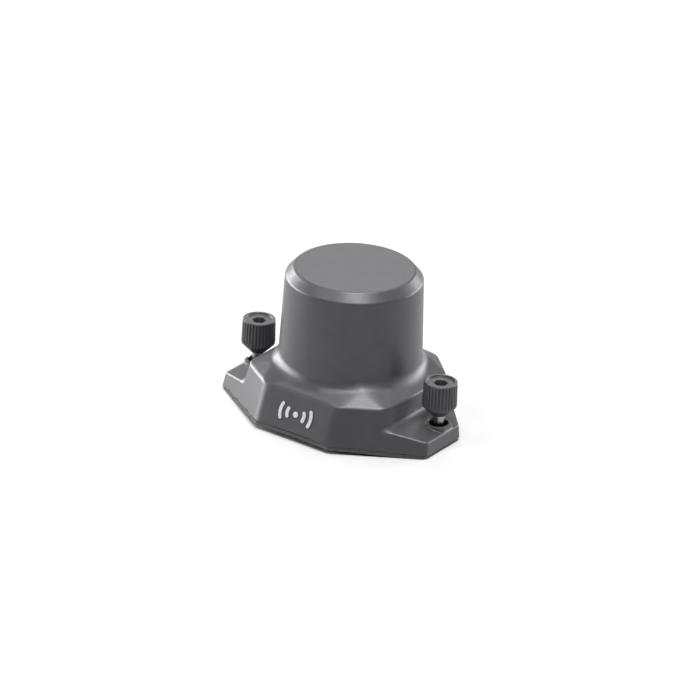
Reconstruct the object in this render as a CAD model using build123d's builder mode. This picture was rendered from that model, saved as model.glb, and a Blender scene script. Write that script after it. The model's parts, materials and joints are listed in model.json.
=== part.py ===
from build123d import *
import os

# GNSS receiver module that is held on an aircraft by two captive thumbscrews.
# Frame: origin on the turret axis in the plane of the feet, +X to the right ear, -Y to the
# front face with the emblem, +Z up. Millimetres. Left and right are mirror images.

# ---- octagonal base, right half, front to back; drafted walls meet the shoulder at the crease ----
crease_z = 11.9
core_floor = [(11.35, -25.92), (23.64, -17.36), (23.64, 13.08), (11.35, 25.9)]
core_crease = [(11.4, -21.4), (22.0, -14.4), (22.0, 12.5), (12.6, 21.5)]
ear_floor = [core_floor[1], (32.4, -11.26), (32.4, 3.94), core_floor[2]]
ear_crease = [core_crease[1], (30.95, -8.49), (30.95, 3.93), core_crease[2]]
wall = 1.6
cavity_drop = 0.9

# ---- ear top, a plane that falls outwards from the foot of the wall ----
wall_foot_x = 22.62
wall_foot_z = 6.75
ear_slope = 0.26
ear_softness = 0.7

# ---- shoulder and turret ----
shoulder_run = 9.0
shoulder_rise = 6.3
crease_softness = 1.2
turret_foot_radius = 18.72
turret_foot_fillet = 2.2
turret_rim_radius = 17.75
turret_rim_z = 37.75
turret_top_radius = 15.49
turret_top_z = 40.2
turret_softness = 0.9
roof = 1.8

# ---- parting line and underside, shallow arches across X ----
lip_outline = [(11.35, -25.1), (32.1, -11.38), (32.1, 4.15), (11.35, 25.1)]
lip_inset = 0.35
parting_crown_z = 2.37
parting_radius = 302.0
underside_crown_z = 1.4
underside_radius = 261.0
arch_half_span = 36.0
seal_height = 0.8
seal_depth = 0.8
rim_height = 2.2
rim_thickness = 1.0
fit_gap = 0.1

# ---- captive screws ----
screw_x = 28.62
screw_y = -0.8
collar_radius = 3.4
collar_top_z = 5.78
collar_end_x = 31.5
recess_radius = 2.45
recess_floor_z = 3.6
web_bottom_z = 2.6
clip_pocket_radius = 2.35
shank_radius = 1.5
shank_clearance = 0.1
groove_radius = 1.15
groove_bottom_z = 2.0
tip_z = 0.15
shank_top_z = 14.6
clip_outer_radius = 2.1
clip_thickness = 0.5
o_ring_radius = 0.35
knob_bottom_z = 8.2
knob_bevel_z = 10.5
knob_grip_z = 11.0
knob_top_z = 17.4
knob_radius = 4.48
knob_core_radius = 4.2
rib_count = 30
rib_radius = 0.3
socket_flats = 3.2
knob_neck_radius = 2.2
knob_bevel_radius = 4.0
knob_dish = 0.5
knob_dish_radius = 3.55

# ---- cover screws and board posts ----
cover_screw_spacing_x = 33.0
cover_screw_spacing_y = 24.0
cover_boss_radius = 2.6
cover_boss_top_z = 4.3
head_radius = 1.5
head_seat_z = 3.2
cover_screw_radius = 0.8
cover_screw_top_z = 9.0
cover_root_z = 1.5
head_height = 1.2
post_circle = 14.2
post_radius = 1.9
post_hole_z = 6.6

# ---- emblem: a signal dot between two pairs of waves ----
emblem_z = 7.0
emblem_dot_radius = 0.75
emblem_wave_radii = [2.6, 4.7]
emblem_stroke = 0.95
emblem_spread = 23
emblem_thickness = 0.2

# ---- downward plug and its pocket ----
pocket_size = (15.0, 9.0)
pocket_wall = 1.0
pocket_ceiling_z = 7.4
pocket_top_z = 8.6
plug_size = (8.25, 2.4)
plug_tip_z = 0.5
seal_gap = 0.22
plug_wall = 0.3
plug_mouth = (6.7, 0.8)
plug_mouth_depth = 5.0
contact_pitch = 0.5
contact_size = (0.25, 0.1)

# ---- boards and antenna ----
board_thickness = 0.8
plug_board_z = pocket_top_z
main_board_z = 10.6
main_board_radius = 16.8
main_board_top_z = main_board_z + board_thickness
ground_plate_z = 14.6
ground_plate_thickness = 0.4
ground_plate_radius = 15.9
feed_board_z = ground_plate_z + ground_plate_thickness
feed_board_top_z = feed_board_z + board_thickness
feed_board_radius = 15.6
former_radius = 12.2
former_top_z = 37.0
helix_foil = 0.25
helix_width = 3.0
former_wall = 1.0
shield_size = (15.0, 13.0)
shield_y = -1.5
shield_height = 2.0
shield_wall = 0.2
standoff_flats = 3.6
antenna_screw_radius = 0.6
antenna_screw_z = 12.4
coax_x = -4.0
coax_y = 6.0
coax_run = 5.5
coax_height = 0.9
coax_bend = 1.5
coax_radius = 0.45

os.makedirs("parts", exist_ok=True)


def save(piece, name):
    piece.part.label = name
    export_step(piece.part, f"parts/{name}.step")


def both_sides(right_half):
    """Close a right-half outline with its mirror image."""
    return right_half + [(-x, y) for x, y in reversed(right_half)]


def section(outline, z, inset=0.0):
    """Horizontal section at height z, inset from a closed outline."""
    with BuildSketch(Plane.XY.offset(z)) as face:
        with BuildLine():
            Polyline(outline, close=True)
        make_face()
        if inset:
            offset(amount=-inset, kind=Kind.INTERSECTION)
    return face.sketch


def below_arch(crown_z, radius, bottom_z=-5.0):
    """Solid under a shallow arch that runs along Y."""
    end_z = crown_z - arch_half_span**2 / (2 * radius)
    with BuildPart() as block:
        with BuildSketch(Plane.XZ):
            with BuildLine():
                ThreePointArc((-arch_half_span, end_z), (0, crown_z), (arch_half_span, end_z))
                Polyline(
                    (arch_half_span, end_z),
                    (arch_half_span, bottom_z),
                    (-arch_half_span, bottom_z),
                    (-arch_half_span, end_z),
                )
            make_face()
        extrude(amount=40, both=True)
    return block.part


def base_block(inset, drop):
    """The drafted octagonal base as a solid, inset all round and lowered."""
    with BuildPart() as block:
        loft(
            sections=[
                section(core_outline, -drop, inset),
                section(crease_outline, crease_z - drop, inset),
            ],
            ruled=True,
        )
    return block.part


def cavity_loop(outer_inset, inner_inset, height):
    """Band that follows the base wall, standing on the parting arch."""
    with BuildPart() as loop:
        add(base_block(outer_inset, cavity_drop))
        add(base_block(inner_inset, cavity_drop), mode=Mode.SUBTRACT)
        add(below_arch(parting_crown_z + height, parting_radius), mode=Mode.INTERSECT)
        add(below_parting, mode=Mode.SUBTRACT)
    return loop.part


def plug_section(z, grow=0.0):
    """Round-ended section of the plug."""
    with BuildSketch(Plane.XY.offset(z)) as face:
        SlotOverall(plug_size[0] + 2 * grow, plug_size[1] + 2 * grow)
    return face.sketch


core_outline = both_sides(core_floor)
crease_outline = both_sides(core_crease)
below_parting = below_arch(parting_crown_z, parting_radius)
sides = {"left": -1, "right": 1}
screw_bores = [
    (clip_pocket_radius, 0, web_bottom_z),
    (shank_radius + shank_clearance, 0, crease_z),
    (recess_radius, recess_floor_z, crease_z),
    (collar_radius, collar_top_z, crease_z),
]
cover_screw_grid = GridLocations(cover_screw_spacing_x, cover_screw_spacing_y, 2, 2)
post_places = PolarLocations(post_circle, 3, start_angle=90)

# ---------------------------------------------------------------- right ear under its sloping top
with BuildPart() as ear:
    loft(sections=[section(ear_floor, 0), section(ear_crease, crease_z)], ruled=True)
    with BuildSketch(Plane.XZ):
        with BuildLine():
            Polyline(
                (0, wall_foot_z + ear_slope * wall_foot_x),
                (arch_half_span, wall_foot_z - ear_slope * (arch_half_span - wall_foot_x)),
                (arch_half_span, turret_top_z),
                (0, turret_top_z),
                close=True,
            )
        make_face()
    extrude(amount=40, both=True, mode=Mode.SUBTRACT)

# ---------------------------------------------------------------- upper housing, outside shape
with BuildPart() as outer_form:
    add(base_block(0, 0))
    loft(
        sections=[
            section(crease_outline, crease_z),
            section(crease_outline, crease_z + shoulder_rise, shoulder_run),
        ],
        ruled=True,
    )
    add(ear.part)
    mirror(ear.part, about=Plane.YZ)
    ear_edges = outer_form.edges().filter_by(
        lambda edge: abs(edge.center().X) > 25 and edge.center().Z > 1
    )
    fillet(ear_edges, radius=ear_softness)
    crease_edges = outer_form.edges().filter_by_position(Axis.Z, crease_z - 0.1, crease_z + 0.1)
    corner_edges = outer_form.edges().filter_by(
        lambda edge: abs(edge.center().X) < 13 and 17 < abs(edge.center().Y) < 24.2
    )
    corner_edges = corner_edges.filter_by(lambda edge: edge.center().Z > 1 and edge.length < 13)
    corner_edges = corner_edges.filter_by(lambda edge: abs(edge.center().Z - crease_z) > 1)
    fillet(crease_edges + corner_edges, radius=crease_softness)
    with BuildSketch(Plane.XZ):
        with BuildLine():
            Polyline(
                (0, crease_z),
                (turret_foot_radius, crease_z),
                (turret_rim_radius, turret_rim_z),
                (turret_top_radius, turret_top_z),
                (0, turret_top_z),
                close=True,
            )
        make_face()
    revolve(axis=Axis.Z)
    rim_edges = outer_form.edges().filter_by(GeomType.CIRCLE)
    rim_edges = rim_edges.filter_by_position(Axis.Z, turret_rim_z - 0.1, turret_top_z + 0.1)
    fillet(rim_edges, radius=turret_softness)
    foot_edges = outer_form.edges().filter_by(
        lambda edge: 17.5 < Vector(edge.center().X, edge.center().Y).length < 19.2
        and crease_z + 1 < edge.center().Z < crease_z + 4.6
    )
    fillet(foot_edges, radius=turret_foot_fillet)

# ---------------------------------------------------------------- upper housing
with BuildPart() as screw_bosses:
    with BuildSketch(Plane.XY.offset(cover_boss_top_z)):
        with cover_screw_grid:
            Circle(cover_boss_radius - 0.4)
    extrude(amount=crease_z)
    add(outer_form.part, mode=Mode.INTERSECT)

with BuildPart() as upper_housing:
    add(outer_form.part)
    add(base_block(wall, cavity_drop), mode=Mode.SUBTRACT)
    loft(
        sections=[
            section(crease_outline, crease_z - cavity_drop, wall),
            section(crease_outline, crease_z - cavity_drop + shoulder_rise, wall + shoulder_run),
        ],
        ruled=True,
        mode=Mode.SUBTRACT,
    )
    with BuildSketch(Plane.XZ):
        with BuildLine():
            Polyline(
                (0, crease_z - cavity_drop),
                (turret_foot_radius - wall, crease_z - cavity_drop),
                (turret_rim_radius - wall, turret_rim_z - wall / 2),
                (turret_top_radius - wall / 2, turret_top_z - roof),
                (0, turret_top_z - roof),
                close=True,
            )
        make_face()
    revolve(axis=Axis.Z, mode=Mode.SUBTRACT)
    add(screw_bosses.part)
    with BuildSketch(Plane.XY.offset(cover_boss_top_z)):
        with cover_screw_grid:
            Circle(cover_screw_radius)
    extrude(amount=cover_screw_top_z - cover_boss_top_z, mode=Mode.SUBTRACT)
    add(below_parting, mode=Mode.SUBTRACT)
    add(cavity_loop(seal_depth, wall, seal_height), mode=Mode.SUBTRACT)
    for side in sides.values():
        with BuildSketch(Plane.XY.offset(recess_floor_z)):
            with Locations((side * screw_x, screw_y)):
                Circle(collar_radius)
            with Locations((side * (collar_end_x + collar_radius), screw_y)):
                Rectangle(2 * collar_radius, 3 * collar_radius, mode=Mode.SUBTRACT)
        extrude(amount=collar_top_z - recess_floor_z)
    for radius, bottom_z, top_z in screw_bores:
        with BuildSketch(Plane.XY.offset(bottom_z)):
            with Locations((-screw_x, screw_y), (screw_x, screw_y)):
                Circle(radius)
        extrude(amount=top_z - bottom_z, mode=Mode.SUBTRACT)
save(upper_housing, "upper_housing")

# ---------------------------------------------------------------- bottom cover
with BuildPart() as bottom_cover:
    with BuildSketch():
        with BuildLine():
            Polyline(both_sides(lip_outline), close=True)
        make_face()
        offset(amount=-lip_inset, kind=Kind.INTERSECTION)
    extrude(amount=cover_boss_top_z)
    fillet(bottom_cover.edges().filter_by(Axis.Z), radius=1.0)
    add(below_parting, mode=Mode.INTERSECT)
    add(cavity_loop(wall + fit_gap, wall + fit_gap + rim_thickness, rim_height))
    with BuildSketch(Plane.XY.offset(cover_root_z)):
        with cover_screw_grid:
            Circle(cover_boss_radius)
    extrude(amount=cover_boss_top_z - cover_root_z)
    with BuildSketch(Plane.XY.offset(cover_root_z)):
        with post_places:
            Circle(post_radius)
    extrude(amount=main_board_z - cover_root_z)
    with BuildSketch(Plane.XY.offset(cover_root_z)):
        RectangleRounded(pocket_size[0] + 2 * pocket_wall, pocket_size[1] + 2 * pocket_wall, 2.5)
    extrude(amount=pocket_top_z - cover_root_z)
    with BuildSketch():
        RectangleRounded(*pocket_size, 1.5)
    extrude(amount=pocket_ceiling_z, mode=Mode.SUBTRACT)
    extrude(plug_section(pocket_ceiling_z, seal_gap), amount=pocket_wall * 2, mode=Mode.SUBTRACT)
    with BuildSketch():
        with cover_screw_grid:
            Circle(head_radius + 2 * fit_gap)
    extrude(amount=head_seat_z, mode=Mode.SUBTRACT)
    with BuildSketch():
        with cover_screw_grid:
            Circle(cover_screw_radius + fit_gap)
    extrude(amount=cover_boss_top_z, mode=Mode.SUBTRACT)
    with BuildSketch(Plane.XY.offset(post_hole_z)):
        with post_places:
            Circle(cover_screw_radius)
    extrude(amount=main_board_z - post_hole_z, mode=Mode.SUBTRACT)
    with BuildSketch():
        with Locations((-screw_x, screw_y), (screw_x, screw_y)):
            Circle(clip_pocket_radius)
    extrude(amount=web_bottom_z, mode=Mode.SUBTRACT)
    add(below_arch(underside_crown_z, underside_radius), mode=Mode.SUBTRACT)
save(bottom_cover, "bottom_cover")

# ---------------------------------------------------------------- seal between housing and cover
with BuildPart() as housing_seal:
    add(cavity_loop(seal_depth + fit_gap / 2, wall, seal_height - fit_gap / 2))
save(housing_seal, "housing_seal")

# ---------------------------------------------------------------- cover screws, heads below
with BuildPart() as cover_screws:
    with BuildSketch(Plane.XY.offset(head_seat_z - head_height)):
        with cover_screw_grid:
            Circle(head_radius)
    extrude(amount=head_height)
    with BuildSketch(Plane.XY.offset(head_seat_z)):
        with cover_screw_grid:
            Circle(cover_screw_radius)
    extrude(amount=cover_screw_top_z - head_seat_z)
    with BuildSketch(Plane.XY.offset(head_seat_z - head_height)):
        with cover_screw_grid:
            RegularPolygon(socket_flats / 4, 6)
    extrude(amount=head_height / 2, mode=Mode.SUBTRACT)
save(cover_screws, "cover_screws")

# ---------------------------------------------------------------- emblem on the front facet
facet_slope = (core_floor[0][1] - core_crease[0][1]) / crease_z
emblem_y = core_floor[0][1] - facet_slope * emblem_z
facet = Plane(
    origin=(0, emblem_y, emblem_z),
    x_dir=(1, 0, 0),
    z_dir=(0, -1, -facet_slope),
)
emblem_waves = [
    CenterArc((0, 0), radius, start, 2 * emblem_spread)
    for radius in emblem_wave_radii
    for start in (-emblem_spread, 180 - emblem_spread)
]
with BuildPart() as front_emblem:
    with BuildSketch(facet):
        Circle(emblem_dot_radius)
        for wave in emblem_waves:
            SlotArc(wave, emblem_stroke)
    extrude(amount=emblem_thickness)
save(front_emblem, "front_emblem")

# ---------------------------------------------------------------- thumb knob about its own axis
with BuildPart() as thumb_knob:
    with BuildSketch(Plane.XY.offset(knob_bottom_z)):
        Circle(knob_core_radius)
        with PolarLocations(knob_radius - rib_radius, rib_count):
            Circle(rib_radius)
    extrude(amount=knob_top_z - knob_bottom_z)
    with BuildSketch(Plane.XZ) as turned:
        with BuildLine():
            ThreePointArc(
                (knob_neck_radius, knob_bottom_z),
                ((knob_neck_radius + knob_bevel_radius) / 2 + 0.1, (knob_bottom_z + knob_bevel_z) / 2),
                (knob_bevel_radius, knob_bevel_z),
            )
            Polyline(
                (knob_bevel_radius, knob_bevel_z),
                (knob_radius, knob_grip_z),
                (knob_radius, knob_top_z - 0.3),
                (knob_radius - 0.3, knob_top_z),
                (0, knob_top_z),
                (0, knob_bottom_z),
                (knob_neck_radius, knob_bottom_z),
            )
        make_face()
    revolve(axis=Axis.Z, mode=Mode.INTERSECT)
    with BuildSketch(Plane.XY.offset(knob_top_z - knob_dish)):
        Circle(knob_dish_radius)
    extrude(amount=knob_dish, mode=Mode.SUBTRACT)
    with BuildSketch(Plane.XY.offset(shank_top_z)):
        RegularPolygon(socket_flats / 2, 6, major_radius=False)
    extrude(amount=knob_top_z - shank_top_z, mode=Mode.SUBTRACT)
    with BuildSketch(Plane.XY.offset(knob_bottom_z)):
        Circle(shank_radius)
    extrude(amount=shank_top_z - knob_bottom_z, mode=Mode.SUBTRACT)

# ---------------------------------------------------------------- captive screw about its own axis
with BuildPart() as captive_screw:
    with BuildSketch(Plane.XZ):
        with BuildLine():
            Polyline(
                (0, tip_z),
                (shank_radius - 0.3, tip_z),
                (shank_radius, tip_z + 0.3),
                (shank_radius, groove_bottom_z),
                (groove_radius, groove_bottom_z),
                (groove_radius, web_bottom_z),
                (shank_radius, web_bottom_z),
                (shank_radius, shank_top_z),
                (0, shank_top_z),
                close=True,
            )
        make_face()
    revolve(axis=Axis.Z)

# ---------------------------------------------------------------- open ring clip in the screw groove
with BuildPart() as ring_clip:
    with BuildSketch(Plane.XY.offset(web_bottom_z - clip_thickness - fit_gap / 2)):
        Circle(clip_outer_radius)
        Circle(groove_radius + fit_gap / 2, mode=Mode.SUBTRACT)
        with Locations((clip_outer_radius, 0)):
            Rectangle(2 * clip_outer_radius, groove_radius * 1.4, mode=Mode.SUBTRACT)
    extrude(amount=clip_thickness)

# ---------------------------------------------------------------- O-ring on the recess floor
with BuildPart() as recess_ring:
    with BuildSketch(Plane.XZ):
        with Locations((recess_radius - o_ring_radius - fit_gap, recess_floor_z + o_ring_radius)):
            Circle(o_ring_radius)
    revolve(axis=Axis.Z)

screw_set = {
    "knob": thumb_knob,
    "screw": captive_screw,
    "retaining_clip": ring_clip,
    "o_ring": recess_ring,
}
for side_name, side in sides.items():
    for piece_name, piece in screw_set.items():
        with BuildPart() as placed:
            with Locations((side * screw_x, screw_y, 0)):
                add(piece.part)
        save(placed, f"{side_name}_{piece_name}")

# ---------------------------------------------------------------- downward plug
with BuildPart() as plug_shell:
    extrude(plug_section(plug_tip_z), amount=plug_board_z - plug_tip_z)
    extrude(
        plug_section(plug_tip_z, -plug_wall),
        amount=plug_board_z - plug_tip_z,
        mode=Mode.SUBTRACT,
    )
save(plug_shell, "plug_shell")

with BuildPart() as plug_insulator:
    extrude(plug_section(plug_tip_z + 0.2, -plug_wall), amount=plug_board_z - plug_tip_z - 0.2)
    with BuildSketch(Plane.XY.offset(plug_tip_z)):
        Rectangle(*plug_mouth)
    extrude(amount=plug_mouth_depth, mode=Mode.SUBTRACT)
save(plug_insulator, "plug_insulator")

with BuildPart() as plug_contacts:
    contact_y = (plug_mouth[1] - contact_size[1]) / 2
    with BuildSketch(Plane.XY.offset(plug_tip_z + 1.0)):
        with GridLocations(contact_pitch, 2 * contact_y, 12, 2):
            Rectangle(*contact_size)
    extrude(amount=plug_mouth_depth - 1.0)
save(plug_contacts, "plug_contacts")

with BuildPart() as plug_seal:
    extrude(plug_section(pocket_ceiling_z, seal_gap), amount=pocket_top_z - pocket_ceiling_z)
    extrude(
        plug_section(pocket_ceiling_z),
        amount=pocket_top_z - pocket_ceiling_z,
        mode=Mode.SUBTRACT,
    )
save(plug_seal, "plug_seal")

# ---------------------------------------------------------------- boards and what they carry
with BuildPart() as plug_board:
    with BuildSketch(Plane.XY.offset(plug_board_z)):
        RectangleRounded(pocket_size[0] + 1, pocket_size[1] + 1, 1.0)
    extrude(amount=board_thickness)
save(plug_board, "plug_board")

with BuildPart() as board_connector:
    with BuildSketch(Plane.XY.offset(plug_board_z + board_thickness)):
        Rectangle(8.0, 3.0)
    extrude(amount=main_board_z - plug_board_z - board_thickness)
save(board_connector, "board_connector")

with BuildPart() as main_board:
    with BuildSketch(Plane.XY.offset(main_board_z)):
        Circle(main_board_radius)
        with post_places:
            Circle(cover_screw_radius + fit_gap, mode=Mode.SUBTRACT)
    extrude(amount=board_thickness)
save(main_board, "main_board")

with BuildPart() as gnss_chip:
    with BuildSketch(Plane.XY.offset(main_board_top_z)):
        with Locations((0, shield_y)):
            Rectangle(10.0, 10.0)
    extrude(amount=1.3)
save(gnss_chip, "gnss_chip")

with BuildPart() as rf_shield_can:
    with BuildSketch(Plane.XY.offset(main_board_top_z)):
        with Locations((0, shield_y)):
            RectangleRounded(*shield_size, 0.6)
    extrude(amount=shield_height)
    with BuildSketch(Plane.XY.offset(main_board_top_z)):
        with Locations((0, shield_y)):
            Rectangle(shield_size[0] - 2 * shield_wall, shield_size[1] - 2 * shield_wall)
    extrude(amount=shield_height - shield_wall, mode=Mode.SUBTRACT)
save(rf_shield_can, "rf_shield_can")

with BuildPart() as oscillator:
    with BuildSketch(Plane.XY.offset(main_board_top_z)):
        with Locations((10.6, 3.5)):
            Rectangle(3.2, 2.5)
    extrude(amount=1.0)
save(oscillator, "oscillator")

with BuildPart() as board_components:
    with BuildSketch(Plane.XY.offset(main_board_top_z)):
        for clear_side in (150, 270, 30):
            with PolarLocations(post_circle, 6, start_angle=clear_side - 27, angular_range=54):
                Rectangle(0.8, 1.6)
    extrude(amount=0.7)
save(board_components, "board_components")

# ---------------------------------------------------------------- standoffs and antenna stack
with BuildPart() as antenna_standoffs:
    with BuildSketch(Plane.XY.offset(main_board_top_z)):
        with post_places:
            RegularPolygon(standoff_flats / 2, 6, major_radius=False)
    extrude(amount=ground_plate_z - main_board_top_z)
    with BuildSketch(Plane.XY.offset(post_hole_z + 0.4)):
        with post_places:
            Circle(cover_screw_radius)
    extrude(amount=main_board_top_z - post_hole_z - 0.4)
    with BuildSketch(Plane.XY.offset(antenna_screw_z)):
        with post_places:
            Circle(antenna_screw_radius)
    extrude(amount=ground_plate_z - antenna_screw_z, mode=Mode.SUBTRACT)
save(antenna_standoffs, "antenna_standoffs")

with BuildPart() as ground_plate:
    with BuildSketch(Plane.XY.offset(ground_plate_z)):
        Circle(ground_plate_radius)
        with post_places:
            Circle(antenna_screw_radius + fit_gap, mode=Mode.SUBTRACT)
        with Locations((coax_x, coax_y)):
            Circle(2 * coax_radius, mode=Mode.SUBTRACT)
    extrude(amount=ground_plate_thickness)
save(ground_plate, "ground_plate")

with BuildPart() as antenna_feed_board:
    with BuildSketch(Plane.XY.offset(feed_board_z)):
        Circle(feed_board_radius)
        with post_places:
            Circle(antenna_screw_radius + fit_gap, mode=Mode.SUBTRACT)
    extrude(amount=board_thickness)
save(antenna_feed_board, "antenna_feed_board")

with BuildPart() as antenna_screws:
    with BuildSketch(Plane.XY.offset(feed_board_top_z)):
        with post_places:
            Circle(2 * antenna_screw_radius)
    extrude(amount=0.9)
    with BuildSketch(Plane.XY.offset(antenna_screw_z)):
        with post_places:
            Circle(antenna_screw_radius)
    extrude(amount=feed_board_top_z - antenna_screw_z)
save(antenna_screws, "antenna_screws")

with BuildPart() as antenna_former:
    with BuildSketch(Plane.XY.offset(feed_board_top_z)):
        Circle(former_radius)
        Circle(former_radius - former_wall, mode=Mode.SUBTRACT)
    extrude(amount=former_top_z - feed_board_top_z)
save(antenna_former, "antenna_former")

helix_height = former_top_z - feed_board_top_z - 2 * helix_width
with BuildPart() as helix_strip:
    with BuildLine():
        course = Helix(
            pitch=2 * helix_height,
            height=helix_height,
            radius=former_radius + helix_foil / 2,
            center=(0, 0, feed_board_top_z + helix_width),
        )
    with BuildSketch(Plane(origin=course @ 0, x_dir=(1, 0, 0), z_dir=course % 0)):
        Rectangle(helix_foil, helix_width)
    sweep(path=course, is_frenet=True)

with BuildPart() as helix_elements:
    with PolarLocations(0, 4):
        add(helix_strip.part)
save(helix_elements, "helix_elements")

with BuildPart() as antenna_cap:
    with BuildSketch(Plane.XY.offset(former_top_z)):
        Circle(former_radius)
    extrude(amount=board_thickness)
save(antenna_cap, "antenna_cap")

with BuildPart() as antenna_pad:
    with BuildSketch(Plane.XY.offset(former_top_z + board_thickness)):
        Circle(former_radius * 0.7)
    extrude(amount=turret_top_z - roof - former_top_z - board_thickness)
save(antenna_pad, "antenna_pad")

# ---------------------------------------------------------------- coaxial lead to the antenna
with BuildPart() as coax_connector:
    with BuildSketch(Plane.XY.offset(main_board_top_z)):
        with Locations((coax_x - coax_run, coax_y)):
            Rectangle(2.6, 2.6)
    extrude(amount=2 * coax_height)
save(coax_connector, "coax_connector")

with BuildPart() as coax_lead:
    lead_z = main_board_top_z + coax_height
    with BuildLine():
        route = FilletPolyline(
            (coax_x - coax_run + 1.3, coax_y, lead_z),
            (coax_x, coax_y, lead_z),
            (coax_x, coax_y, feed_board_z),
            radius=coax_bend,
        )
    with BuildSketch(Plane(origin=route @ 0, z_dir=route % 0)):
        Circle(coax_radius)
    sweep(path=route)
save(coax_lead, "coax_lead")
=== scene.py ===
import json
import math

import bpy
import numpy as np
from mathutils import Matrix, Vector


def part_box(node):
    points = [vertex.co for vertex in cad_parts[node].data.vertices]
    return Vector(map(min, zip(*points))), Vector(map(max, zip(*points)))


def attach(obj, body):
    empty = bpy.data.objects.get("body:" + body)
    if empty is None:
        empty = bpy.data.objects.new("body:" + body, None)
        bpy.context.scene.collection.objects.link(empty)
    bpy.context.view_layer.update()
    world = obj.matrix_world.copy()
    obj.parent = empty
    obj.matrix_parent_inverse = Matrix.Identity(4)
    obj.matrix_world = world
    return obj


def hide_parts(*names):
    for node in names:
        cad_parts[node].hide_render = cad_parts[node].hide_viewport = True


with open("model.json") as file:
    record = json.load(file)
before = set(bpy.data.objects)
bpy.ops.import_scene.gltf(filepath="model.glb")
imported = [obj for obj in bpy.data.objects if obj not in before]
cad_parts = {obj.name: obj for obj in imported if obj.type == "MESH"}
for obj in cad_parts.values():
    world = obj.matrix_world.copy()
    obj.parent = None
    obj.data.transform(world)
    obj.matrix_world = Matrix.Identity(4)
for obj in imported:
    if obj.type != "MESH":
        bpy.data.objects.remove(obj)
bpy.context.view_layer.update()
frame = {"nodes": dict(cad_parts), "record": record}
MM = 0.001

# ------------------------------------------------------------------ camera and room
CAMERA_AZIMUTH = math.radians(34.142)
CAMERA_ELEVATION = math.radians(25.189)
CAMERA_ROLL = math.radians(2.975)
CAMERA_DISTANCE = 1.1739
CAMERA_LENS = 233.7
SENSOR_WIDTH = 36
CAMERA_TARGET = Vector((-0.0038, 0.0053, 0.0138))

camera_right = Vector((math.cos(CAMERA_AZIMUTH), math.sin(CAMERA_AZIMUTH), 0))
camera_back = Vector(
    (
        math.sin(CAMERA_AZIMUTH) * math.cos(CAMERA_ELEVATION),
        -math.cos(CAMERA_AZIMUTH) * math.cos(CAMERA_ELEVATION),
        math.sin(CAMERA_ELEVATION),
    )
)
camera_up = camera_back.cross(camera_right)

# Each light has a turn from the camera's right (0) towards the camera (90) and a height, both in
# degrees, then the size of its panel in metres and its power in watts.
FLOOR_HALF = 3.0
FLOOR_COLOUR = (0.5, 0.5, 0.5)
WORLD_STRENGTH = 0.0
LIGHT_DISTANCE = 1.2
LIGHT_AIM_Z = 0.015
LIGHTS = [
    ("top_light", 50, 80, (0.6, 0.5), 12.0),
    ("front_top_light", 84, 67, (0.5, 0.3), 11.0),
    ("left_top_light", 162, 57, (0.4, 0.4), 3.4),
    ("left_light", 207, 8, (1.2, 0.4), 28.0),
    ("right_light", 328, 8, (0.8, 0.4), 13.0),
    ("right_top_light", 330, 50, (0.5, 0.35), 2.0),
    ("back_light", 270, 46, (0.5, 0.35), 3.2),
    ("back_low_light", 268, 20, (0.9, 0.3), 1.8),
]


def add_camera():
    data = bpy.data.cameras.new("camera")
    data.lens = CAMERA_LENS
    data.sensor_width = SENSOR_WIDTH
    camera = bpy.data.objects.new("camera", data)
    bpy.context.scene.collection.objects.link(camera)
    rolled_right = camera_right * math.cos(CAMERA_ROLL) + camera_up * math.sin(CAMERA_ROLL)
    rolled_up = camera_up * math.cos(CAMERA_ROLL) - camera_right * math.sin(CAMERA_ROLL)
    axes = Matrix((rolled_right, rolled_up, camera_back)).transposed()
    camera.matrix_world = Matrix.Translation(
        CAMERA_TARGET + camera_back * CAMERA_DISTANCE
    ) @ axes.to_4x4()
    bpy.context.scene.camera = camera


def add_floor():
    mesh = bpy.data.meshes.new("floor")
    corners = [(x * FLOOR_HALF, y * FLOOR_HALF, 0) for x, y in ((-1, -1), (1, -1), (1, 1), (-1, 1))]
    mesh.from_pydata(corners, [], [(0, 1, 2, 3)])
    floor = bpy.data.objects.new("floor", mesh)
    bpy.context.scene.collection.objects.link(floor)
    material, nodes, links, shader = new_material("floor_paper", FLOOR_COLOUR, 0.9)
    shader.inputs["Specular IOR Level"].default_value = 0.0
    mesh.materials.append(material)


def add_light(name, position, target, size, power):
    data = bpy.data.lights.new(name, "AREA")
    data.shape = "RECTANGLE"
    data.size, data.size_y = size
    data.energy = power
    light = bpy.data.objects.new(name, data)
    bpy.context.scene.collection.objects.link(light)
    light.location = position
    light.rotation_euler = (Vector(target) - Vector(position)).to_track_quat("-Z", "Y").to_euler()


def from_camera(turn, height, distance):
    """A place at an angle round from the camera's right towards the camera, and an angle up."""
    turn, height = math.radians(turn), math.radians(height)
    level_back = Vector((camera_back.x, camera_back.y, 0)).normalized()
    level = camera_right * math.cos(turn) + level_back * math.sin(turn)
    return level * (math.cos(height) * distance) + Vector((0, 0, math.sin(height) * distance))


def add_room():
    world = bpy.data.worlds.new("room")
    bpy.context.scene.world = world
    world.use_nodes = True
    background = world.node_tree.nodes["Background"]
    background.inputs["Color"].default_value = (1.0, 1.0, 1.0, 1.0)
    background.inputs["Strength"].default_value = WORLD_STRENGTH
    aim = Vector((0, 0, LIGHT_AIM_Z))
    for name, turn, height, size, power in LIGHTS:
        add_light(name, from_camera(turn, height, LIGHT_DISTANCE) + aim, aim, size, power)


# ------------------------------------------------------------------ materials
def new_material(name, colour, roughness, metallic=0.0):
    material = bpy.data.materials.new(name)
    material.use_nodes = True
    nodes = material.node_tree.nodes
    links = material.node_tree.links
    shader = nodes["Principled BSDF"]
    shader.inputs["Base Color"].default_value = (*colour, 1.0)
    shader.inputs["Roughness"].default_value = roughness
    shader.inputs["Metallic"].default_value = metallic
    return material, nodes, links, shader


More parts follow.
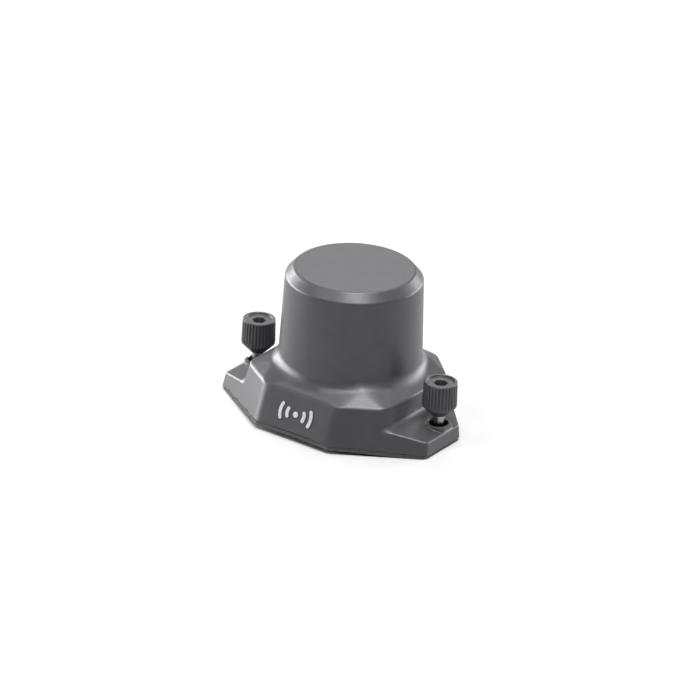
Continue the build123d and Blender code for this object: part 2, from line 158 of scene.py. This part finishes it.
def noise(nodes, links, size_mm, detail=2.0, stretch=(1, 1, 1)):
    """Noise in the part's own space, with features about size_mm across."""
    coordinates = nodes.new("ShaderNodeTexCoord")
    mapping = nodes.new("ShaderNodeMapping")
    mapping.inputs["Scale"].default_value = stretch
    texture = nodes.new("ShaderNodeTexNoise")
    texture.inputs["Scale"].default_value = 1 / (size_mm * MM)
    texture.inputs["Detail"].default_value = detail
    links.new(coordinates.outputs["Object"], mapping.inputs["Vector"])
    links.new(mapping.outputs["Vector"], texture.inputs["Vector"])
    return texture.outputs["Fac"]


def spread(nodes, links, value, low, high):
    """Map a 0 to 1 value to low to high."""
    ramp = nodes.new("ShaderNodeMapRange")
    ramp.inputs["From Min"].default_value = 0.3
    ramp.inputs["From Max"].default_value = 0.7
    ramp.inputs["To Min"].default_value = low
    ramp.inputs["To Max"].default_value = high
    links.new(value, ramp.inputs["Value"])
    return ramp.outputs["Result"]


def tint(nodes, links, value, dark, light):
    """Map a 0 to 1 value to a colour between dark and light."""
    ramp = nodes.new("ShaderNodeValToRGB")
    ramp.color_ramp.elements[0].position = 0.3
    ramp.color_ramp.elements[0].color = (*dark, 1)
    ramp.color_ramp.elements[1].position = 0.7
    ramp.color_ramp.elements[1].color = (*light, 1)
    links.new(value, ramp.inputs["Fac"])
    return ramp.outputs["Color"]


def bump(nodes, links, height, strength, depth_mm):
    node = nodes.new("ShaderNodeBump")
    node.inputs["Strength"].default_value = strength
    node.inputs["Distance"].default_value = depth_mm * MM
    links.new(height, node.inputs["Height"])
    return node.outputs["Normal"]


def moulded(name, colour, roughness, grain_mm=0.35, grain=0.5, depth_mm=0.03):
    """Plastic with a spark-eroded grain, faint colour drift and uneven gloss."""
    material, nodes, links, shader = new_material(name, colour, roughness)
    fine = noise(nodes, links, grain_mm, 3.0)
    broad = noise(nodes, links, 4.0, 2.0)
    darker = tuple(c * 0.93 for c in colour)
    lighter = tuple(c * 1.07 for c in colour)
    links.new(tint(nodes, links, broad, darker, lighter), shader.inputs["Base Color"])
    links.new(
        spread(nodes, links, fine, roughness - 0.05, roughness + 0.06),
        shader.inputs["Roughness"],
    )
    links.new(bump(nodes, links, fine, grain, depth_mm), shader.inputs["Normal"])
    return material


def metal(name, colour, roughness, stretch=(1, 1, 1), size_mm=0.3, strength=0.15):
    """Metal with fine drawn or turned marks."""
    material, nodes, links, shader = new_material(name, colour, roughness, 1.0)
    marks = noise(nodes, links, size_mm, 3.0, stretch)
    darker = tuple(c * 0.9 for c in colour)
    links.new(tint(nodes, links, marks, darker, colour), shader.inputs["Base Color"])
    links.new(
        spread(nodes, links, marks, roughness * 0.8, roughness * 1.25),
        shader.inputs["Roughness"],
    )
    links.new(bump(nodes, links, marks, strength, 0.01), shader.inputs["Normal"])
    return material


def circuit_board(name):
    """Solder mask with faint tracks."""
    mask = (0.012, 0.07, 0.035)
    material, nodes, links, shader = new_material(name, mask, 0.35)
    coordinates = nodes.new("ShaderNodeTexCoord")
    tracks = nodes.new("ShaderNodeTexBrick")
    tracks.inputs["Scale"].default_value = 900
    tracks.inputs["Color1"].default_value = (*mask, 1)
    tracks.inputs["Color2"].default_value = (0.014, 0.08, 0.04, 1)
    tracks.inputs["Mortar"].default_value = (0.03, 0.14, 0.07, 1)
    tracks.inputs["Mortar Size"].default_value = 0.03
    links.new(coordinates.outputs["Object"], tracks.inputs["Vector"])
    links.new(tracks.outputs["Color"], shader.inputs["Base Color"])
    links.new(bump(nodes, links, tracks.outputs["Fac"], 0.2, 0.02), shader.inputs["Normal"])
    return material


def dress(node, material):
    """Give a CAD node one material."""
    mesh = frame["nodes"][node].data
    mesh.materials.clear()
    mesh.materials.append(material)


materials = {
    "housing": moulded("housing_plastic", (0.042, 0.042, 0.047), 0.40),
    "cover": moulded("cover_plastic", (0.05, 0.05, 0.056), 0.5),
    "knob": moulded("knob_plastic", (0.042, 0.042, 0.046), 0.42, 0.15, 0.25),
    "rubber": moulded("rubber_black", (0.015, 0.015, 0.015), 0.7, 0.3, 0.2),
    "insulator": moulded("insulator_black", (0.018, 0.018, 0.019), 0.45),
    "chip": moulded("chip_epoxy", (0.025, 0.025, 0.027), 0.55, 0.12),
    "former": moulded("former_natural", (0.62, 0.60, 0.53), 0.5),
    "lead": moulded("lead_jacket", (0.02, 0.02, 0.02), 0.4),
    "emblem": metal("emblem_silver", (0.80, 0.81, 0.83), 0.42, size_mm=0.12, strength=0.1),
    "steel": metal("screw_steel", (0.42, 0.42, 0.43), 0.3),
    "bright_steel": metal("turned_steel", (0.30, 0.30, 0.31), 0.24, (1, 1, 14)),
    "gold": metal("gold_plate", (0.83, 0.58, 0.22), 0.25),
    "copper": metal("copper_foil", (0.72, 0.36, 0.22), 0.3),
    "tin": metal("tin_plate", (0.62, 0.62, 0.60), 0.35),
    "board": circuit_board("board_mask"),
}
for part in frame["record"]["subparts"]:
    dress(part["node"], materials[part["material_slot"]])

# ------------------------------------------------------------------ moulded housing
# The housing is a distance field in millimetres: negative inside the plastic, 0 on its skin.
# Outlines give the right half, front to back, on the floor and at the crease.
CREASE_Z = 11.9
CORE_FLOOR = [(11.35, -25.92), (23.64, -17.36), (23.64, 13.08), (11.35, 25.9)]
CORE_CREASE = [(11.4, -21.4), (22.0, -14.4), (22.0, 12.5), (12.6, 21.5)]
EAR_END_FLOOR = [(32.4, -11.26), (32.4, 3.94)]
EAR_END_CREASE = [(30.95, -8.49), (30.95, 3.93)]
SHOULDER_SLOPE = 0.7
FRONT_SHOULDER_SLOPE = 0.9
HIP_SOFT = 0.6
HIP_SPREAD = 0.7
HIP_SOFT_LEAST = 0.4
HIP_SOFT_MOST = 2.6
CORE_CORNER = 3.0
EAR_CORNER = 1.2
EAR_POINT_CORNER = 5.0
STEP_SOFT = 1.0
EAR_EDGE_SOFT = 0.45
WALL_EDGE_SOFT = 2.1
EDGE_CHANGE = 3.0
CREASE_SOFT = 0.35
TURRET_FOOT_SOFT = 2.0
WALL_FOOT = (22.62, 6.75)
EAR_SLOPE = 0.26
TURRET_PROFILE = [(18.72, 11.9), (17.75, 37.75), (15.49, 40.2)]
PARTING_CROWN_Z = 2.37
PARTING_RADIUS = 302.0
WALL = 1.6
SCREW_AXIS = (28.62, -0.8)
COLLAR_RADIUS = 3.4
COLLAR_TOP_Z = 5.78
COLLAR_END_X = 31.5
RECESS_RADIUS = 2.45
RECESS_FLOOR_Z = 3.6
BORE_RADIUS = 1.6
POCKET_RADIUS = 2.35
POCKET_TOP_Z = 2.6
BOSS_X = 16.5
BOSS_Y = 12.0
BOSS_RADIUS = 2.2
BOSS_BOTTOM_Z = 4.3
PILOT_RADIUS = 0.8
PILOT_TOP_Z = 9.0
SEAL_HEIGHT = 0.8
CELL = 0.42
PROJECTIONS = 4


def both_sides(right_half):
    """Close a right half outline with its mirror image."""
    return right_half + [(-x, y) for x, y in reversed(right_half)]


def carve(*fields, soft):
    """Intersection whose edges are rounded by soft."""
    rounded = np.sqrt(sum(np.maximum(field + soft, 0) ** 2 for field in fields))
    return rounded + np.minimum(np.maximum.reduce(fields), -soft)


def join(*fields, soft):
    """Union whose inner corners are filled by soft."""
    return -carve(*(-field for field in fields), soft=soft)


def drafted_prism(floor, crease, radius, x, y, z):
    """Outline that shrinks from floor to crease, with plan corners of a radius."""
    rise = z / CREASE_Z
    corners = [
        (low[0] + (high[0] - low[0]) * rise, low[1] + (high[1] - low[1]) * rise)
        for low, high in zip(floor, crease)
    ]
    sides = []
    for start, end in zip(corners, corners[1:] + corners[:1]):
        run_x, run_y = end[0] - start[0], end[1] - start[1]
        length = np.hypot(run_x, run_y)
        sides.append((start, (run_x / length, run_y / length), length))
    inside = np.maximum.reduce(
        [(x - start[0]) * uy - (y - start[1]) * ux + radius for start, (ux, uy), length in sides]
    )
    nearest = np.full_like(x, 1e3)
    count = len(sides)
    for index, (start, (ux, uy), length) in enumerate(sides):
        before = sides[index - 1][1]
        after = sides[(index + 1) % count][1]
        cut_start = radius * np.tan(angle_between(before, (ux, uy)) / 2)
        cut_end = radius * np.tan(angle_between((ux, uy), after) / 2)
        along = (x - start[0]) * ux + (y - start[1]) * uy
        across = (x - start[0]) * uy - (y - start[1]) * ux + radius
        past = along - np.clip(along, cut_start, length - cut_end)
        nearest = np.minimum(nearest, np.hypot(past, across))
    return np.where(inside > 0, nearest, inside) - radius


def angle_between(first, second):
    """Angle between two unit directions in plan."""
    return np.arccos(np.clip(first[0] * second[0] + first[1] * second[1], -1, 1))


def shoulder(x, y, z):
    """Hip roof on eight sides whose hips soften with height."""
    corners = both_sides(CORE_CREASE)
    facets = []
    for start, end in zip(corners, corners[1:] + corners[:1]):
        level_front = start[1] == end[1] and start[1] < 0
        tilt = math.atan(FRONT_SHOULDER_SLOPE if level_front else SHOULDER_SLOPE)
        out_x, out_y = end[1] - start[1], start[0] - end[0]
        length = math.hypot(out_x, out_y)
        level = ((x - start[0]) * out_x + (y - start[1]) * out_y) / length
        facets.append(level * math.sin(tilt) + (z - CREASE_Z) * math.cos(tilt))
    soft = np.clip(HIP_SOFT + HIP_SPREAD * (z - CREASE_Z), HIP_SOFT_LEAST, HIP_SOFT_MOST)
    return carve(*facets, soft=soft)


def turret(ring, z, inset=0.0):
    """Tapered dome on the Z axis with a bevelled rim."""
    faces = []
    for (r0, z0), (r1, z1) in zip(TURRET_PROFILE, TURRET_PROFILE[1:]):
        length = math.hypot(r1 - r0, z1 - z0)
        faces.append(((ring - r0) * (z1 - z0) - (z - z0) * (r1 - r0)) / length)
    side, bevel = faces
    top = z - TURRET_PROFILE[-1][1]
    return carve(carve(side, bevel, soft=0.22), top, soft=0.2) + inset


def ear_body(x, y, z):
    """Base under the ear tops and the upright wall, without the shoulder."""
    across = abs(x)
    wall = across - CORE_FLOOR[1][0] + (CORE_FLOOR[1][0] - CORE_CREASE[1][0]) / CREASE_Z * z
    ear_top = (z - WALL_FOOT[1] + EAR_SLOPE * (across - WALL_FOOT[0])) / math.hypot(1, EAR_SLOPE)
    step = join(wall, ear_top, soft=STEP_SOFT)
    floor = both_sides([CORE_FLOOR[0], *EAR_END_FLOOR, CORE_FLOOR[3]])
    crease = both_sides([CORE_CREASE[0], *EAR_END_CREASE, CORE_CREASE[3]])
    outline = drafted_prism(floor, crease, EAR_CORNER, x, y, z)
    blunt = drafted_prism(
        both_sides([CORE_FLOOR[0], EAR_POINT_FLOOR, CORE_FLOOR[3]]),
        both_sides([CORE_CREASE[0], EAR_POINT_CREASE, CORE_CREASE[3]]),
        EAR_POINT_CORNER, x, y, z,
    )
    height = np.clip((ear_top - wall + EDGE_CHANGE / 2) / EDGE_CHANGE, 0, 1)
    ease = height * height * (3 - 2 * height)
    soft = EAR_EDGE_SOFT + (WALL_EDGE_SOFT - EAR_EDGE_SOFT) * ease
    return carve(np.maximum(outline, blunt), step, soft=soft)


def meeting_point(a, b, c, d):
    """Where the line through a and b crosses the line through c and d."""
    slope_1 = (b[1] - a[1]) / (b[0] - a[0])
    slope_2 = (d[1] - c[1]) / (d[0] - c[0])
    x = (c[1] - a[1] + slope_1 * a[0] - slope_2 * c[0]) / (slope_1 - slope_2)
    return (x, a[1] + slope_1 * (x - a[0]))


EAR_POINT_FLOOR = meeting_point(CORE_FLOOR[0], EAR_END_FLOOR[0], EAR_END_FLOOR[1], CORE_FLOOR[3])
EAR_POINT_CREASE = meeting_point(
    CORE_CREASE[0], EAR_END_CREASE[0], EAR_END_CREASE[1], CORE_CREASE[3]
)


def housing_field(x, y, z):
    """The whole shell: skin, cavity, screw bosses, seal rebate, screw recesses and bores."""
    ring = np.hypot(x, y)
    across = abs(x)
    roof = shoulder(x, y, z)
    core = drafted_prism(both_sides(CORE_FLOOR), both_sides(CORE_CREASE), CORE_CORNER, x, y, z)
    skin = carve(ear_body(x, y, z), roof, soft=CREASE_SOFT)
    skin = join(skin, turret(ring, z), soft=TURRET_FOOT_SOFT)
    screw_ring = np.hypot(across - SCREW_AXIS[0], y - SCREW_AXIS[1])
    collar = carve(screw_ring - COLLAR_RADIUS, z - COLLAR_TOP_Z, across - COLLAR_END_X, soft=0.25)
    skin = join(skin, collar, soft=0.3)
    cavity = np.minimum(carve(core + WALL, roof + WALL, soft=0.3), turret(ring, z, WALL))
    parting_z = PARTING_CROWN_Z - x**2 / (2 * PARTING_RADIUS)
    rebate = np.maximum(core + WALL / 2, z - parting_z - SEAL_HEIGHT)
    boss_ring = np.hypot(across - BOSS_X, abs(y) - BOSS_Y)
    boss = carve(boss_ring - BOSS_RADIUS, BOSS_BOTTOM_Z - z, soft=0.15)
    solid = np.minimum(np.maximum(skin, -cavity), np.maximum(boss, skin + 0.3))
    solid = np.maximum(solid, -np.maximum(boss_ring - PILOT_RADIUS, z - PILOT_TOP_Z))
    solid = np.maximum(solid, -rebate)
    recess = np.maximum(screw_ring - RECESS_RADIUS, RECESS_FLOOR_Z - z)
    pocket = np.maximum(screw_ring - POCKET_RADIUS, z - POCKET_TOP_Z)
    solid = carve(solid, -recess, soft=0.18)
    solid = np.maximum(solid, -np.minimum(pocket, screw_ring - BORE_RADIUS))
    return carve(solid, parting_z - z, soft=0.18)


def slope_of(field, points):
    """Gradient of a field at each point."""
    step = 0.01
    columns = []
    for axis in range(3):
        shift = np.zeros(3)
        shift[axis] = step
        columns.append((field(*(points + shift).T) - field(*(points - shift).T)) / (2 * step))
    return np.stack(columns, axis=1)


def skin_of(field, low, high, cell):
    """Quads along the zero surface of a field, one vertex for each grid cell it crosses."""
    axes = [np.arange(a - cell, b + 2 * cell, cell) for a, b in zip(low, high)]
    values = field(*np.meshgrid(*axes, indexing="ij"))
    inside = values < 0
    cells = tuple(n - 1 for n in values.shape)
    total = np.zeros((*cells, 3))
    count = np.zeros(cells)
    corners = np.indices((2, 2, 2)).reshape(3, -1).T

    def window(grid, offset):
        return grid[tuple(slice(o, o + n) for o, n in zip(offset, cells))]

    for start in corners:
        for axis in range(3):
            if start[axis]:
                continue
            end = start.copy()
            end[axis] = 1
            a, b = window(values, start), window(values, end)
            crossed = window(inside, start) != window(inside, end)
            share = np.where(crossed, a / np.where(crossed, a - b, 1), 0)
            for k in range(3):
                total[..., k] += crossed * (start[k] + (share if k == axis else 0))
            count += crossed
    used = count > 0
    number = np.full(cells, -1)
    number[used] = np.arange(used.sum())
    origin = np.array([axis[0] for axis in axes])
    points = origin + cell * (np.argwhere(used) + total[used] / count[used][:, None])
    quads = []
    for axis in range(3):
        one, two = (axis + 1) % 3, (axis + 2) % 3
        near = [slice(1, -1)] * 3
        near[axis] = slice(0, -1)
        far = list(near)
        far[axis] = slice(1, None)
        enters = inside[tuple(near)] & ~inside[tuple(far)]
        leaves = ~inside[tuple(near)] & inside[tuple(far)]
        for mask, order in ((enters, 1), (leaves, -1)):
            place = np.argwhere(mask)
            place[:, one] += 1
            place[:, two] += 1
            ring = []
            for d1, d2 in ((-1, -1), (0, -1), (0, 0), (-1, 0)):
                spot = place.copy()
                spot[:, one] += d1
                spot[:, two] += d2
                ring.append(number[tuple(spot.T)])
            quads.append(np.stack(ring[::order], axis=1))
    for _ in range(PROJECTIONS):
        gradient = slope_of(field, points)
        steepness = np.maximum((gradient**2).sum(axis=1), 0.2)
        pull = np.clip(field(*points.T) / steepness, -cell / 2, cell / 2)
        points = points - gradient * pull[:, None]
    return points, np.concatenate(quads)


def mould_housing():
    """Mesh the field inside the CAD part's box and shade it with the field's own normals."""
    low, high = (np.array(corner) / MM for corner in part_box("upper_housing"))
    points, quads = skin_of(housing_field, low, high, CELL)
    mesh = bpy.data.meshes.new("housing_shell")
    mesh.from_pydata((points * MM).tolist(), [], quads.tolist())
    mesh.shade_smooth()
    normals = slope_of(housing_field, points)
    normals /= np.linalg.norm(normals, axis=1)[:, None]
    mesh.normals_split_custom_set_from_vertices(normals.tolist())
    mesh.materials.append(materials["housing"])
    shell = bpy.data.objects.new("housing_shell", mesh)
    bpy.context.scene.collection.objects.link(shell)
    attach(shell, "housing")
    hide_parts("upper_housing")


# ------------------------------------------------------------------ turned and moulded pieces
KNOB_BOTTOM_Z = 8.2
KNOB_TOP_Z = 17.4
KNOB_BOTTOM_RADIUS = 4.47
KNOB_TOP_RADIUS = 4.3
KNOB_NECK_RADIUS = 2.2
RIBS_BOTTOM_Z = 11.05
RIBS_TOP_Z = 16.95
RIB_COUNT = 30
RIB_DEPTH = 0.34
STEPS_PER_RIB = 12
DISH_RADIUS = 3.5
DISH_DEPTH = 0.5
SOCKET_FLATS = 3.2
SHANK_RADIUS = 1.5
SHANK_TOP_Z = 14.6
SHANK_GAP = 0.02
TIP_Z = 0.15
GROOVE_BOTTOM_Z = 2.0
GROOVE_RADIUS = 1.15
THREAD_PITCH = 0.5
THREAD_DEPTH = 0.22


def lathe(name, rows, columns, centre, material, body, node):
    """Closed skin from rows of (radius, height), each a number or one value for each column."""
    angles = np.arange(columns) * 2 * np.pi / columns
    points = []
    for radius, height in rows:
        ring = np.empty((columns, 3))
        ring[:, 0] = centre[0] + radius * np.cos(angles)
        ring[:, 1] = centre[1] + radius * np.sin(angles)
        ring[:, 2] = height
        points.append(ring)
    faces = []
    for row in range(len(rows) - 1):
        for column in range(columns):
            after = (column + 1) % columns
            low, high = row * columns, (row + 1) * columns
            faces.append((low + column, low + after, high + after, high + column))
    faces.append(tuple(reversed(range(columns))))
    faces.append(tuple(range((len(rows) - 1) * columns, len(rows) * columns)))
    mesh = bpy.data.meshes.new(name)
    mesh.from_pydata((np.concatenate(points) * MM).tolist(), [], faces)
    mesh.shade_smooth()
    mesh.set_sharp_from_angle(angle=math.radians(38))
    mesh.materials.append(material)
    piece = bpy.data.objects.new(name, mesh)
    bpy.context.scene.collection.objects.link(piece)
    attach(piece, body)
    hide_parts(node)


def arc(centre, radius, start, end, steps):
    """Points of (radius, height) along an arc, with angles in degrees from outward."""
    return [
        (
            centre[0] + radius * math.cos(math.radians(start + (end - start) * i / steps)),
            centre[1] + radius * math.sin(math.radians(start + (end - start) * i / steps)),
        )
        for i in range(steps + 1)
    ]


def turn_knob(side_name, centre):
    """Ribbed knob with a cone foot, a rolled rim, a dish and a hex socket."""
    columns = RIB_COUNT * STEPS_PER_RIB
    phase = (np.arange(columns) % STEPS_PER_RIB) / STEPS_PER_RIB
    groove = np.clip(1.35 * np.cos(np.pi * phase) ** 6, 0, 1)
    angles = np.arange(columns) * 2 * np.pi / columns
    sextant = (angles + np.pi / 6) % (np.pi / 3) - np.pi / 6
    socket = SOCKET_FLATS / 2 / np.cos(sextant)

    def skin(height):
        rise = (height - RIBS_BOTTOM_Z) / (KNOB_TOP_Z - RIBS_BOTTOM_Z)
        return KNOB_BOTTOM_RADIUS + (KNOB_TOP_RADIUS - KNOB_BOTTOM_RADIUS) * rise

    def ribbed(height, share):
        return skin(height) - RIB_DEPTH * share * groove

    bore = SHANK_RADIUS + SHANK_GAP
    rows = [(bore, SHANK_TOP_Z + SHANK_GAP), (bore, KNOB_BOTTOM_Z + 0.15)]
    rows += [(bore + 0.15, KNOB_BOTTOM_Z), (KNOB_NECK_RADIUS - 0.2, KNOB_BOTTOM_Z)]
    rows += arc((KNOB_NECK_RADIUS - 0.2, KNOB_BOTTOM_Z + 0.2), 0.2, -60, 0, 3)
    cone_steps = 10
    for i in range(1, cone_steps + 1):
        share = i / cone_steps
        bulge = 0.16 * math.sin(math.pi * share)
        radius = KNOB_NECK_RADIUS + (KNOB_BOTTOM_RADIUS - 0.3 - KNOB_NECK_RADIUS) * share + bulge
        rows.append((radius, KNOB_BOTTOM_Z + 0.3 + 2.0 * share))
    band = KNOB_BOTTOM_RADIUS - 0.12
    rows += arc((band - 0.12, KNOB_BOTTOM_Z + 2.42), 0.12, -50, 0, 3)
    rows += [(band, RIBS_BOTTOM_Z - 0.25)]
    rows += [(band + 0.05 - 0.1 * groove, RIBS_BOTTOM_Z - 0.12)]
    rows += [(ribbed(RIBS_BOTTOM_Z + lift, share), RIBS_BOTTOM_Z + lift)
             for lift, share in ((0.0, 0.6), (0.12, 0.9), (0.3, 1.0))]
    rows += [(ribbed(z, 1.0), z) for z in np.linspace(RIBS_BOTTOM_Z + 0.8, RIBS_TOP_Z - 0.5, 8)]
    rows += [(ribbed(RIBS_TOP_Z - drop, share), RIBS_TOP_Z - drop)
             for drop, share in ((0.25, 1.0), (0.1, 0.8), (0.0, 0.3))]
    lip = 0.17
    rim = skin(KNOB_TOP_Z) - 0.04
    rows += [(rim, KNOB_TOP_Z - lip - 0.15)]
    rows += arc((rim - lip, KNOB_TOP_Z - lip), lip, 0, 90, 5)
    rows += arc((DISH_RADIUS + lip, KNOB_TOP_Z - lip), lip, 90, 165, 4)
    floor_z = KNOB_TOP_Z - DISH_DEPTH
    rows += [(DISH_RADIUS - 0.06, floor_z + 0.12), (DISH_RADIUS - 0.18, floor_z)]
    rows += [(DISH_RADIUS * 0.8, floor_z), (socket + 0.14, floor_z)]
    rows += [(socket + 0.04, floor_z - 0.04), (socket, floor_z - 0.14)]
    rows += [(socket, (floor_z + SHANK_TOP_Z) / 2), (socket, SHANK_TOP_Z + 0.2)]
    rows = [(np.broadcast_to(radius, columns), height) for radius, height in rows]
    lathe(f"{side_name}_thumb_knob", rows, columns, centre, materials["knob"],
          f"{side_name}_thumbscrew", f"{side_name}_knob")


def turn_screw(side_name, centre):
    """Plain shank with a clip groove above a rolled thread."""
    columns = 64
    angles = np.arange(columns) * 2 * np.pi / columns
    rows = [(np.full(columns, SHANK_RADIUS - 0.45), TIP_Z)]
    rows += [(np.full(columns, SHANK_RADIUS - 0.3), TIP_Z + 0.04)]
    for z in np.arange(TIP_Z + 0.1, GROOVE_BOTTOM_Z - 0.1, 0.05):
        turns = (z / THREAD_PITCH - angles / (2 * np.pi)) % 1
        flank = np.abs(2 * turns - 1)
        ridge = np.clip(1.3 * flank - 0.15, 0, 1)
        end_fade = min(1, (z - TIP_Z) / 0.3)
        rows.append((SHANK_RADIUS - THREAD_DEPTH * ridge - 0.3 * (1 - end_fade), z))
    plain = [
        (GROOVE_BOTTOM_Z - 0.05, SHANK_RADIUS - 0.08),
        (GROOVE_BOTTOM_Z, SHANK_RADIUS - 0.12),
        (GROOVE_BOTTOM_Z + 0.01, GROOVE_RADIUS),
        (POCKET_TOP_Z - 0.01, GROOVE_RADIUS),
        (POCKET_TOP_Z, SHANK_RADIUS - 0.06),
        (POCKET_TOP_Z + 0.06, SHANK_RADIUS),
        (SHANK_TOP_Z - 0.1, SHANK_RADIUS),
        (SHANK_TOP_Z, SHANK_RADIUS - 0.1),
    ]
    rows += [(np.full(columns, radius), z) for z, radius in plain]
    lathe(f"{side_name}_captive_screw", rows, columns, centre, materials["bright_steel"],
          f"{side_name}_thumbscrew", f"{side_name}_screw")


mould_housing()
for side_name, side in (("left", -1), ("right", 1)):
    centre = (side * SCREW_AXIS[0], SCREW_AXIS[1])
    turn_knob(side_name, centre)
    turn_screw(side_name, centre)
add_camera()
add_floor()
add_room()
bpy.context.scene.view_settings.view_transform = "Standard"
